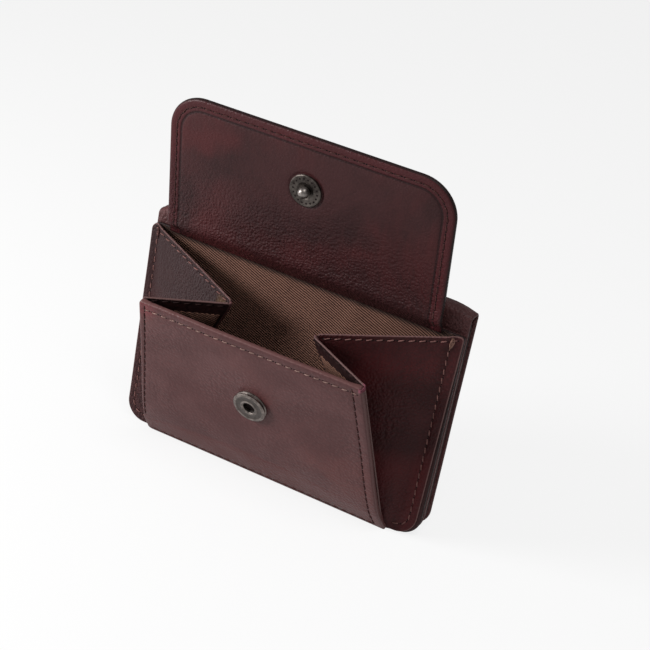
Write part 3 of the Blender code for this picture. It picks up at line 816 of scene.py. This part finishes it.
def gusset_creases(side, word):
    """A side's flat wall, panel and middle creases, and how far its wall and panel creases turn."""
    wall = Vector(JOINTS["gusset_back_right_crease"]["axis"])
    panel = Matrix.Rotation(-PANEL_OPEN, 3, "X") @ Vector(JOINTS["gusset_front_right_crease"]["axis"])
    wall.x *= side
    panel.x *= side
    mid = Vector((-side * math.sin(MID_ANGLE), 0, math.cos(MID_ANGLE)))
    turns = [-RATIOS[f"gusset_{part}_{word}_crease"] * FLAP_TRAVEL for part in ("back", "front")]
    return wall.normalized(), panel.normalized(), mid, *turns


def side_lay(side, wall, wall_turn):
    """A lay for the side leather: flat on the wall, then bent forward at the wall crease."""
    foot = np.array([side * CREASE_FOOT_X, 0.0])
    along = np.array([wall.x, wall.z])
    inward = np.array([-along[1], along[0]]) * side
    reach = 1.8 * MM
    turn = abs(wall_turn)
    radius = 2 * reach / turn
    axis_y = FACE_Y + 0.4 * MM
    step_forward = FACE_Y - JOINTS["gusset_back_right_crease"]["pos_m"][1]

    def lay(points):
        flat = points[:, [0, 2]] - foot
        run, across = flat @ along, flat @ inward
        ease = np.clip((across + reach) / (2.2 * reach), 0, 1)
        depth = points[:, 1] - axis_y - step_forward * ease * ease * (3 - 2 * ease)
        angle = turn * np.clip((across + reach) / (2 * reach), 0, 1)
        over = np.clip(across - reach, 0, None)
        bent = radius * np.sin(angle) - reach + over * math.cos(turn)
        rise = radius * (1 - np.cos(angle)) + over * math.sin(turn)
        bent = np.where(across < -reach, across, bent) + depth * np.sin(angle)
        rise = rise - depth * np.cos(angle)
        spots = foot + run[:, None] * along + bent[:, None] * inward
        return np.column_stack([spots[:, 0], axis_y - rise, spots[:, 1]])

    return lay


def make_side(side):
    """One side's leather: the sewn margin and the back plate in one sheet, then the plates behind it."""
    word = "right" if side > 0 else "left"
    wall, panel, mid, wall_turn, panel_turn = gusset_creases(side, word)
    wall_top = wall * (FRONT_HEIGHT / wall.z)
    foot = Vector((side * CREASE_FOOT_X, 0, 0))
    off = Vector((mid.z, 0, -mid.x)) * side * 0.1 * MM
    tip = foot + mid * MID_LENGTH + off
    toe = foot + mid * GUSSET_TOE + off
    trim, top_corner, extra = (1.2 * MM, 0.9 * MM, 1.0 * MM) if side > 0 else (0.4 * MM, 2.2 * MM, 0.0)
    outline = filleted([
        (foot.x, 0, 0), (side * (HALF_WIDTH - trim), 0, FRONT_CORNER),
        (side * HALF_WIDTH, FRONT_HEIGHT, top_corner), (foot.x + wall_top.x, FRONT_HEIGHT, 0),
        (tip.x, tip.z, 0.9 * MM), (toe.x, toe.z, 0),
    ])
    seam_x = HALF_WIDTH - (SEAM_INSET + extra)
    corner = FRONT_CORNER - SEAM_INSET
    bend = [(side * (seam_x - corner * (1 - math.cos(angle))), SEAM_INSET + corner * (1 - math.sin(angle)))
            for angle in np.linspace(0, math.pi / 2, 7)]
    margin_seam = [(side * seam_x, FRONT_HEIGHT - 1.5 * MM), *bend, (foot.x + side * 1.0 * MM, SEAM_INSET)]
    head = Vector((foot.x + wall_top.x, FRONT_HEIGHT))
    reach = Vector((tip.x, tip.z)) - head
    down = Vector((reach.y, -reach.x)).normalized()
    down = down if down.y < 0 else -down
    top_seam = [tuple(head + reach * share + down * 1.35 * MM) for share in (-0.03, 0.45, 0.96)]
    dents = [(margin_seam, 0.14 * MM, 0.5 * MM), (top_seam, 0.1 * MM, 0.45 * MM)]
    surface = Sheet(outline, FACE_Y, FACE_Y + 0.65 * MM, side_lay(side, wall, wall_turn), 0.32 * MM,
                    dents, wave=ripple(0.14 * MM, 15 * MM, 11 + side))
    across = Vector((wall.z, 0, -wall.x)) * side * 2.2 * MM
    back_body, front_body = f"gusset_back_{word}", f"gusset_front_{word}"
    surface.build(f"gusset_{word}_leather", RIGHT_SHADED_LEATHER if side > 0 else LEFT_LEATHER,
                  ("front_half", back_body, foot + across, foot - across), f"gusset_margin_{word}", back_body)
    sew(f"gusset_{word}_margin_seam", surface, margin_seam, "front_half")
    sew(f"gusset_{word}_top_seam", surface, top_seam, back_body)
    strands = []
    for turn in range(3):
        heights = np.linspace(FRONT_HEIGHT - 0.5 * MM, FRONT_HEIGHT - (3.4 + 0.4 * turn) * MM, 9)
        offsets = (2.5 + 0.38 * turn) * MM + 0.16 * MM * np.sin(heights * 2400 + turn * 2)
        flats = np.column_stack([side * (HALF_WIDTH - offsets), heights])
        strands.append(surface.spot(flats, lift=(0.1 + 0.05 * turn) * MM))
    tuft_thread = TAN_THREAD if side > 0 else DARK_THREAD
    rope(f"gusset_{word}_tuft", strands, 0.17 * MM, tuft_thread, "front_half", 0.4, 7)

    local_foot = PANEL_PLACE.inverted() @ Vector(JOINTS[f"{front_body}_crease"]["pos_m"])
    fold = PANEL_PLACE @ Matrix.Translation(local_foot) @ Matrix.Rotation(panel_turn, 4, panel)
    make_front_plate(side, word, fold, panel, mid * MID_LENGTH + off, mid * GUSSET_TOE + off)
    turned_mid = np.array(Matrix.Rotation(wall_turn, 3, wall) @ mid)
    start = (np.array(JOINTS[f"{back_body}_crease"]["pos_m"]) + np.array(fold.translation)) / 2
    inner = np.array((side * 1.0, 0.35, 0)) * 0.28 * MM
    path = [start + inner + turned_mid * reach
            for reach in np.linspace(GUSSET_TOE * 0.7, MID_LENGTH - 0.25 * MM, 60)]
    rope(f"gusset_{word}_crease_leather", [path], 0.62 * MM, CREASE_LEATHER, back_body, 0.45, 12)


def make_front_plate(side, word, fold, panel, tip, toe):
    """A gusset's front plate behind its middle crease, with its seam and its twill."""
    body = f"gusset_front_{word}"
    panel_top = panel * (PANEL_LENGTH / panel.z)
    low_panel = panel * GUSSET_TOE
    outline = filleted([(toe.x, toe.z, 0), (low_panel.x, low_panel.z, 0),
                        (panel_top.x, panel_top.z - 0.3 * MM, 0.3 * MM), (tip.x, tip.z, 0.9 * MM)])
    top = Vector((panel_top.x, panel_top.z))
    reach = Vector((tip.x, tip.z)) - top
    seam = [tuple(top + reach * share + Vector((0, -1.2 * MM))) for share in (0.06, 0.93)]
    dents = [(seam, 0.08 * MM, 0.45 * MM)]
    surface = Sheet(outline, -PLATE_SHEET, 0.0, placed(fold), 0.28 * MM, dents, dents)
    surface.build(f"gusset_{word}_inner_leather", POCKET_LEATHER, body, body)
    sew(f"gusset_{word}_inner_seam", surface, seam, body, material=FAINT_THREAD)
    band, corner, toe_share, tip_share = 4.4 * MM, 0.3 * MM, 1.3, 0.9
    outline = filleted([
        (toe.x * toe_share - side * 0.2 * MM, toe.z * toe_share, 0),
        (low_panel.x * toe_share - side * 0.9 * MM, low_panel.z * toe_share, 0),
        (panel_top.x - side * 0.7 * MM, panel_top.z - band, corner),
        (tip.x * tip_share + side * 0.6 * MM, tip.z - band, corner),
    ])
    cloth = Sheet(outline, -PLATE_SHEET - 0.12 * MM, -PLATE_SHEET + 0.15 * MM, placed(fold), 0.08 * MM,
                  step=LOOSE)
    stretch_cloth(f"gusset_{word}_twill", cloth, f"gusset_{word}_inner_leather", body)


def make_lining():
    """The twill on the pocket's wall, with one soft tuck."""
    gap = 0.25 * MM
    outline = trapezoid(CREASE_FOOT_X - gap, 0, 0, CREASE_HEAD_X - gap, FRONT_HEIGHT - gap, 0)

    def wave(x, z):
        tuck = np.exp(-((x - 12 * MM - 0.25 * (z - 40 * MM)) / (1.3 * MM)) ** 2)
        return -0.4 * MM * tuck * np.clip(z / FRONT_HEIGHT, 0, 1) + 0.08 * MM * np.sin(x / (5 * MM))

    cloth = Sheet(outline, LINING_Y, WALL_FRONT_Y - 0.05 * MM, placed(Matrix()), 0.15 * MM, wave=wave)
    stretch_cloth("pocket_lining_twill", cloth, "coin_wall_leather", "front_half", "coin_lining")


def flap_lay(points):
    """Lay the flap: straight up on its lean, with its tail rolled back down onto the wall."""
    height = points[:, 2]
    straight = placed(FLAP_PLACE)(points)
    roll_height, tail_sheet, tuck_depth, tuck_height = 3.2 * MM, 0.75 * MM, 1.35 * MM, 1.0 * MM
    share = np.clip(1 - height / roll_height, 0, 1)
    share = share * share * (3 - 2 * share)
    through = (points[:, 1] - FLAP_INNER) / FLAP_THICKNESS
    tucked = np.clip((-0.1 * MM - height) / tuck_height, 0, 1)
    tail_y = FACE_Y - 0.05 * MM - tail_sheet * (1 - through) + tuck_depth * (1 - np.sqrt(1 - tucked ** 2))
    tail_z = FLAP_AXIS.z + 0.6 * MM + height * 0.9
    return np.column_stack([points[:, 0], straight[:, 1] * (1 - share) + tail_y * share,
                            straight[:, 2] * (1 - share) + tail_z * share])


def make_flap():
    """The flap in one padded sheet, with a border seam and a pressed line inside it."""
    tail, base_below = 1.1 * MM, 12 * MM
    outline = trapezoid(FLAP_BASE_X, -tail, 0.5 * MM, FLAP_TOP_X, FLAP_LENGTH, FLAP_CORNER)
    rim = trapezoid(FLAP_BASE_X, -base_below, 0, FLAP_TOP_X, FLAP_LENGTH, FLAP_CORNER)
    seam = inset_path(rim, 2.2 * MM, above=0.3 * MM)
    line = inset_path(rim, 3.5 * MM, above=0.8 * MM)
    flow = ripple(0.15 * MM, 16 * MM, 5)

    def wave(x, z):
        roll = 0.4 * MM * np.exp(-((z - 3.6 * MM) / (2.2 * MM)) ** 2)
        calm = np.clip(distance_to(np.column_stack([x, z]), rim, closed=True) / (7 * MM), 0, 1)
        return flow(x, z) * np.clip(z / (8 * MM), 0, 1) * calm - roll

    angles = np.linspace(0, math.tau, 49)
    ring_radius = 4.75 * MM
    ring = np.column_stack([ring_radius * np.cos(angles), SNAP_REACH + ring_radius * np.sin(angles)])
    seam_dent = (seam, *SEAM_DENT)
    surface = Sheet(outline, FLAP_INNER, FLAP_INNER + FLAP_THICKNESS, flap_lay, 0.8 * MM,
                    [seam_dent, (line, 0.2 * MM, 0.4 * MM), (ring, 0.25 * MM, 0.4 * MM)], [seam_dent], wave,
                    cut_from=rim)
    fold = ("front_half", "flap", Vector((0, FLAP_AXIS.y + 3 * MM, FLAP_AXIS.z - 0.6 * MM)),
            Vector((0, FLAP_AXIS.y + 2 * MM, FLAP_AXIS.z + 3.9 * MM)))
    surface.build("flap_leather", FLAP_LEATHER, fold, "flap_outer", "flap_inner")
    for word, behind in (("inside", False), ("outside", True)):
        sew(f"flap_seam_{word}", surface, seam, fold, behind, DARK_THREAD)


class CoverLay:
    """The cover's way over the spine: up the riser, round the top and down the back."""

    def __init__(self):
        self.bend = 1.5 * MM
        self.rise = CREST_Z - self.bend
        self.quarter = self.bend * math.pi / 2
        self.flat = COVER_BACK_Y - RISER_Y - 2 * self.bend
        self.over = self.rise + 2 * self.quarter + self.flat
        self.length = self.over + self.rise
        self.middle = self.rise + self.quarter + self.flat / 2

    def __call__(self, points):
        """Places of flat points: x, depth under the outer face, way along the cover."""
        x, depth, way = points.T
        first = np.clip(way - self.rise, 0, self.quarter) / self.bend
        second = np.clip(way - self.rise - self.quarter - self.flat, 0, self.quarter) / self.bend
        y = RISER_Y + self.bend * (1 - np.cos(first)) + np.clip(way - self.rise - self.quarter, 0, self.flat)
        y = y + self.bend * np.sin(second) + depth * np.cos(first + second)
        z = np.minimum(way, self.rise) + self.bend * np.sin(first) - self.bend * (1 - np.cos(second))
        z = z - np.clip(way - self.over, 0, None) - depth * np.sin(first + second)
        left_end = np.clip((-x - 36 * MM) / (11.5 * MM), 0, 1)
        right_end = np.clip((x - 39.5 * MM) / (8 * MM), 0, 1)
        sag = 3.3 * MM * left_end ** 2 + 1.4 * MM * right_end ** 2
        sag_from, sag_reach = 46 * MM, 22 * MM
        z = z - sag * np.clip((z - sag_from) / sag_reach, 0, 1) ** 1.5
        return np.column_stack([x, y, z])


def make_cover():
    """The outer cover over both halves, cut in the middle of the spine."""
    lay = CoverLay()
    whole = trapezoid(HALF_WIDTH, 0, FRONT_CORNER, HALF_WIDTH, lay.length, COVER_CORNER)
    outline = trapezoid(HALF_WIDTH, 0, FRONT_CORNER, HALF_WIDTH, lay.middle, 0)
    cover_sheet, edge = RISER_BACK_Y - RISER_Y, 0.35 * MM
    bend_y, top = 1.6 * MM, CREST_Z - 2.2 * MM
    riser = Sheet(outline, 0.0, cover_sheet, lay, edge, step=1.2 * MM, cut_from=whole)
    riser.build("cover_front_leather", COVER_LEATHER,
                ("front_half", "spine", (0, RISER_Y, top), (0, RISER_Y + bend_y, CREST_Z)),
                "cover_front_leaf", "cover_spine")
    outline = trapezoid(HALF_WIDTH, lay.middle, 0, HALF_WIDTH, lay.length, COVER_CORNER)
    seam = inset_path(outline, SEAM_INSET, above=lay.over + 2 * MM)
    flow = ripple(0.2 * MM, 19 * MM, 8)

    def wave(x, z):
        return flow(x, z) * np.clip((z - lay.over - 1 * MM) / (8 * MM), 0, 1)

    surface = Sheet(outline, 0.0, cover_sheet, lay, edge, [(seam, *SEAM_DENT)], wave=wave, cut_from=whole)
    surface.build("cover_back_leather", COVER_LEATHER,
                  ("spine", "back_half", (0, COVER_BACK_Y - bend_y, CREST_Z), (0, COVER_BACK_Y, top)),
                  "back_cover")
    sew("cover_seam", surface, seam, "back_half")


def turned(name, profile, place, material, body, *nodes, steps=64):
    """A round piece turned from (radius, height) points in mm about its own axis, closed at both ends."""
    mesh = bpy.data.meshes.new(name)
    mesh.from_pydata([(radius * MM, 0, height * MM) for radius, height in profile],
                     [(index, index + 1) for index in range(len(profile) - 1)], [])
    mesh.materials.append(material)
    piece = linked(name, mesh)
    screw = piece.modifiers.new("Turn", "SCREW")
    screw.steps = screw.render_steps = steps
    screw.use_merge_vertices = True
    screw.merge_threshold = 0.01 * MM
    solid = bpy.data.meshes.new_from_object(piece.evaluated_get(bpy.context.evaluated_depsgraph_get()))
    piece.modifiers.clear()
    piece.data = solid
    solid.shade_smooth()
    solid.set_sharp_from_angle(angle=math.radians(35))
    piece.matrix_world = place
    return hold(piece, body, *nodes, slot=ANTIQUE)


def facing(place, depth, height, towards_front=True):
    """Place of a snap piece: its height runs out of the leather, from a seat at that depth."""
    turn = Matrix.Rotation(math.radians(90 if towards_front else -90), 4, "X")
    return place @ Matrix.Translation((0, depth, height)) @ turn


def add_pits(stud, ring_radius, height, count, size):
    """Small pits round a ring: separate flat cups of painted shade set into the metal."""
    strands = Strands()
    for index in range(count):
        angle = math.tau * index / count
        centre = np.array([ring_radius * math.cos(angle), ring_radius * math.sin(angle), height])
        strands.add([centre - (0, 0, 0.12 * MM), centre + (0, 0, 0.015 * MM)], [size, size], 10)
    pits = strands.build(f"{stud.name}_pits", [HOLE_SHADE], smooth=False)
    pits.matrix_world = stud.matrix_world
    hold(pits, "flap", slot=ANTIQUE)


def make_snap():
    """The stud and cap on the flap, the socket and eyelet on the front panel."""
    inner_seat = facing(FLAP_PLACE, FLAP_INNER, SNAP_REACH)
    ball, neck, ball_z = 1.55, 1.05, 1.2
    profile = [(ball * math.sin(angle), ball_z + ball * math.cos(angle))
               for angle in np.linspace(0, math.pi - math.asin(neck / ball), 16)]
    turned("snap_ball_metal", [*profile, (neck, 0), (0, 0)], inner_seat, BALL_METAL, "flap", steps=40)
    profile = [(0, 0.06), (1.4, 0.06), (2.1, 0.16), (2.4, 0.4), (2.6, 0.44), (3.9, 0.42), (4.15, 0.52),
               (4.4, 0.5), (4.55, 0.38), (4.55, 0), (4.095, -0.3), (0, -0.3)]
    stud = turned("snap_stud_metal", profile, inner_seat, STUD_METAL, "flap", "snap_stud")
    add_pits(stud, 3.5 * MM, 0.43 * MM, 18, 0.28 * MM)
    cap, dome, rim = 5.6, 0.75, 0.35
    profile = [(cap * math.sin(angle), rim + dome * math.cos(angle))
               for angle in np.linspace(0, math.pi / 2, 10)]
    turned("snap_cap_metal", [*profile, (cap, 0.1), (5.3, -0.2), (0, -0.2)],
           facing(FLAP_PLACE, FLAP_INNER + FLAP_THICKNESS, SNAP_REACH, False), METAL, "flap", "snap_cap")
    seat = facing(PANEL_PLACE, PANEL_FRONT, FLAP_AXIS.z - SNAP_REACH - PANEL_AXIS.z)
    bore = 1.75
    profile = [(0, 0.35), (bore, 0.35), (bore, 1.45), (1.95, 1.66), (2.3, 1.74), (2.6, 1.54), (3.85, 1.52),
               (4.15, 1.72), (4.55, 1.64), (4.87, 1.35), (4.8, 1.05), (4.4, 0.9), (4.45, 0.5), (4.7, 0.3),
               (4.7, 0), (4.0, -0.3), (0, -0.3)]
    turned("snap_socket_metal", profile, seat, SOCKET_METAL, "coin_front", "snap_socket")
    # A dark disc of painted shade inside the socket's bore
    profile = [(0, 0.5), (bore * 0.97, 0.5), (bore * 0.97, 0.3), (0, 0.3)]
    turned("snap_socket_bore_shade", profile, seat, HOLE_SHADE, "coin_front", steps=32)
    node = frame["nodes"]["socket_eyelet"]
    node.data.materials.clear()
    node.data.materials.append(METAL)


def upright(half_width, height, corner, top_corner=0.9 * MM):
    """A sheet's outline with rounded bottom corners."""
    return filleted([(-half_width, 0, corner), (half_width, 0, corner),
                     (half_width, height, top_corner), (-half_width, height, max(top_corner, 2.2 * MM))])


def notched(half_width, height, corner):
    """A pocket's outline: rounded below, with a small step cut from each top corner."""
    ledge, inner = height - 2.4 * MM, half_width - 3.0 * MM
    sharp, soft = 0.3 * MM, 1.2 * MM
    return filleted([
        (-half_width, 0, corner), (half_width, 0, corner), (half_width, ledge, sharp), (inner, ledge, soft),
        (inner, height, soft), (-inner, height, soft), (-inner, ledge, soft), (-half_width, ledge, sharp),
    ])


def make_layers():
    """The flat sheets of both halves: the pocket's wall and backing, the card pockets and the bill pocket."""
    inset_half = HALF_WIDTH - POCKET_INSET
    wall_middle = 0.0
    upper_y, lower_y = low("front_card_pocket_upper", 1), low("front_card_pocket_lower", 1)
    bill_y, lining_y = low("bill_pocket", 1), low("bill_lining", 1)
    rows = [
        ("coin_wall_leather", ["coin_back_wall"], upright(HALF_WIDTH, FRONT_HEIGHT, FRONT_CORNER),
         FACE_Y + 0.66 * MM, wall_middle, INNER_LEATHER),
        ("wall_backing_leather", [], upright(HALF_WIDTH - 0.5 * MM, FRONT_HEIGHT - 0.3 * MM, FRONT_CORNER),
         wall_middle, RISER_Y, POCKET_LEATHER),
        ("card_pocket_upper_leather", ["front_card_pocket_upper"],
         notched(inset_half, high("front_card_pocket_upper", 2), FRONT_CORNER),
         upper_y - 0.25 * MM, lower_y - 0.3 * MM, POCKET_LEATHER),
        ("card_pocket_lower_leather", ["front_card_pocket_lower"],
         notched(inset_half, high("front_card_pocket_lower", 2), FRONT_CORNER),
         lower_y - 0.25 * MM, high("front_card_pocket_lower", 1), INNER_LEATHER),
        ("bill_pocket_leather", ["bill_pocket"], notched(inset_half, high("bill_pocket", 2), COVER_CORNER),
         bill_y, lining_y - 0.05 * MM, POCKET_LEATHER),
        ("bill_lining_leather", ["bill_lining"],
         upright(inset_half, high("bill_lining", 2), COVER_CORNER, 5 * MM),
         lining_y, COVER_Y - 0.05 * MM, INNER_LEATHER),
    ]
    for name, nodes, outline, front, back, material in rows:
        slot = BURGUNDY if "wall" in name else DARK_INNER
        behind = "bill" not in name
        body = "front_half" if behind else "back_half"
        top = float(outline[:, 1].max())
        border = inset_path(outline, SEAM_INSET, below=top - 5 * MM)
        pressed = []
        if "pocket" in name:
            line = [(side * (inset_half - 4 * MM), top - 2.2 * MM) for side in (-1, 1)]
            pressed = [(line, 0.1 * MM, 0.3 * MM), (border, 0.08 * MM, 0.5 * MM)]
        surface = Sheet(outline, front, back, placed(Matrix()), 0.28 * MM,
                        () if behind else pressed, pressed if behind else (), step=LOOSE)
        surface.build(name, material, body, *nodes, slot=slot)
        if pressed:
            sew(f"{name}_seam", surface, border, body, behind, slot=slot)


def lamp(name, place, aim, size, power):
    """A round lamp that shines at a spot."""
    data = bpy.data.lights.new(name, "AREA")
    data.shape = "DISK"
    data.size = size
    data.energy = power
    item = linked(name, data)
    item.location = place
    item.rotation_euler = (Vector(aim) - Vector(place)).to_track_quat("-Z", "Y").to_euler()


def make_studio():
    """White floor and world, a soft key lamp from the upper left and the photograph's camera."""
    bpy.ops.mesh.primitive_plane_add(size=6.0, location=(0, 0, -0.00005))
    floor = bpy.context.object
    floor.name = "floor"
    recipe = Recipe("floor_white")
    recipe.finish(Base_Color=(0.86, 0.86, 0.86), Roughness=0.9, Specular_IOR_Level=0.0)
    glow = recipe.add("ShaderNodeEmission", None, {"Color": (1.0, 1.0, 1.0), "Strength": 1.0})
    seen, mirrored = 0.82, 0.35
    shine = (recipe.ray("Camera") + recipe.ray("Transmission")) * seen + recipe.ray("Glossy") * mirrored
    mix = recipe.add("ShaderNodeMixShader", None,
                     {0: shine, 1: Shade(recipe, recipe.shader.outputs[0]), 2: glow})
    recipe.feed(recipe.tree.nodes["Material Output"].inputs["Surface"], mix)
    floor.data.materials.append(recipe.material)

    scene = bpy.context.scene
    scene.world = bpy.data.worlds.new("studio")
    sky = Recipe("studio", scene.world)
    back = sky.tree.nodes["Background"]
    sky.feed(back.inputs["Color"], (1.0, 1.0, 1.0))
    fill, mirrored = 0.24, 0.08
    seen = (sky.ray("Camera") + sky.ray("Transmission")) * (1 - fill)
    sky.feed(back.inputs["Strength"], seen + sky.ray("Glossy") * mirrored + fill)

    lamp("key", (-0.363, -0.301, 0.206), (0, 0, 0.045), 0.18, 2.95)
    lamp("top", (0.3, -0.36, 0.95), (0, 0, 0.04), 0.5, 3.6)

    # The camera fitted to the photograph: its turns in degrees, and the pivot's place before it in mm
    turn_x, turn_y, turn_z = (math.radians(angle) for angle in (24.84, 11.32, -22.67))
    shift = Vector((-9.84, 6.54, 420.54)) * MM
    pivot = Vector((0, FACE_Y, 40 * MM))
    focal_pixels, picture_pixels = 1553.06, 650
    turn = Matrix.Rotation(turn_y, 3, "Y") @ Matrix.Rotation(turn_x, 3, "X") @ Matrix.Rotation(turn_z, 3, "Z")
    right, down, ahead = to_view = Matrix(((1, 0, 0), (0, 0, -1), (0, 1, 0))) @ turn
    data = bpy.data.cameras.new("camera")
    data.sensor_width = 36.0
    data.lens = focal_pixels / picture_pixels * data.sensor_width
    camera = linked("camera", data)
    axes = Matrix((right, -down, -ahead)).transposed()
    camera.matrix_world = Matrix.Translation(pivot - to_view.transposed() @ shift) @ axes.to_4x4()
    scene.camera = camera
    scene.view_settings.view_transform = "Standard"


make_studio()
make_layers()
make_front_panel()
make_pocket_floor()
make_side(1)
make_side(-1)
make_lining()
make_flap()
make_cover()
make_snap()
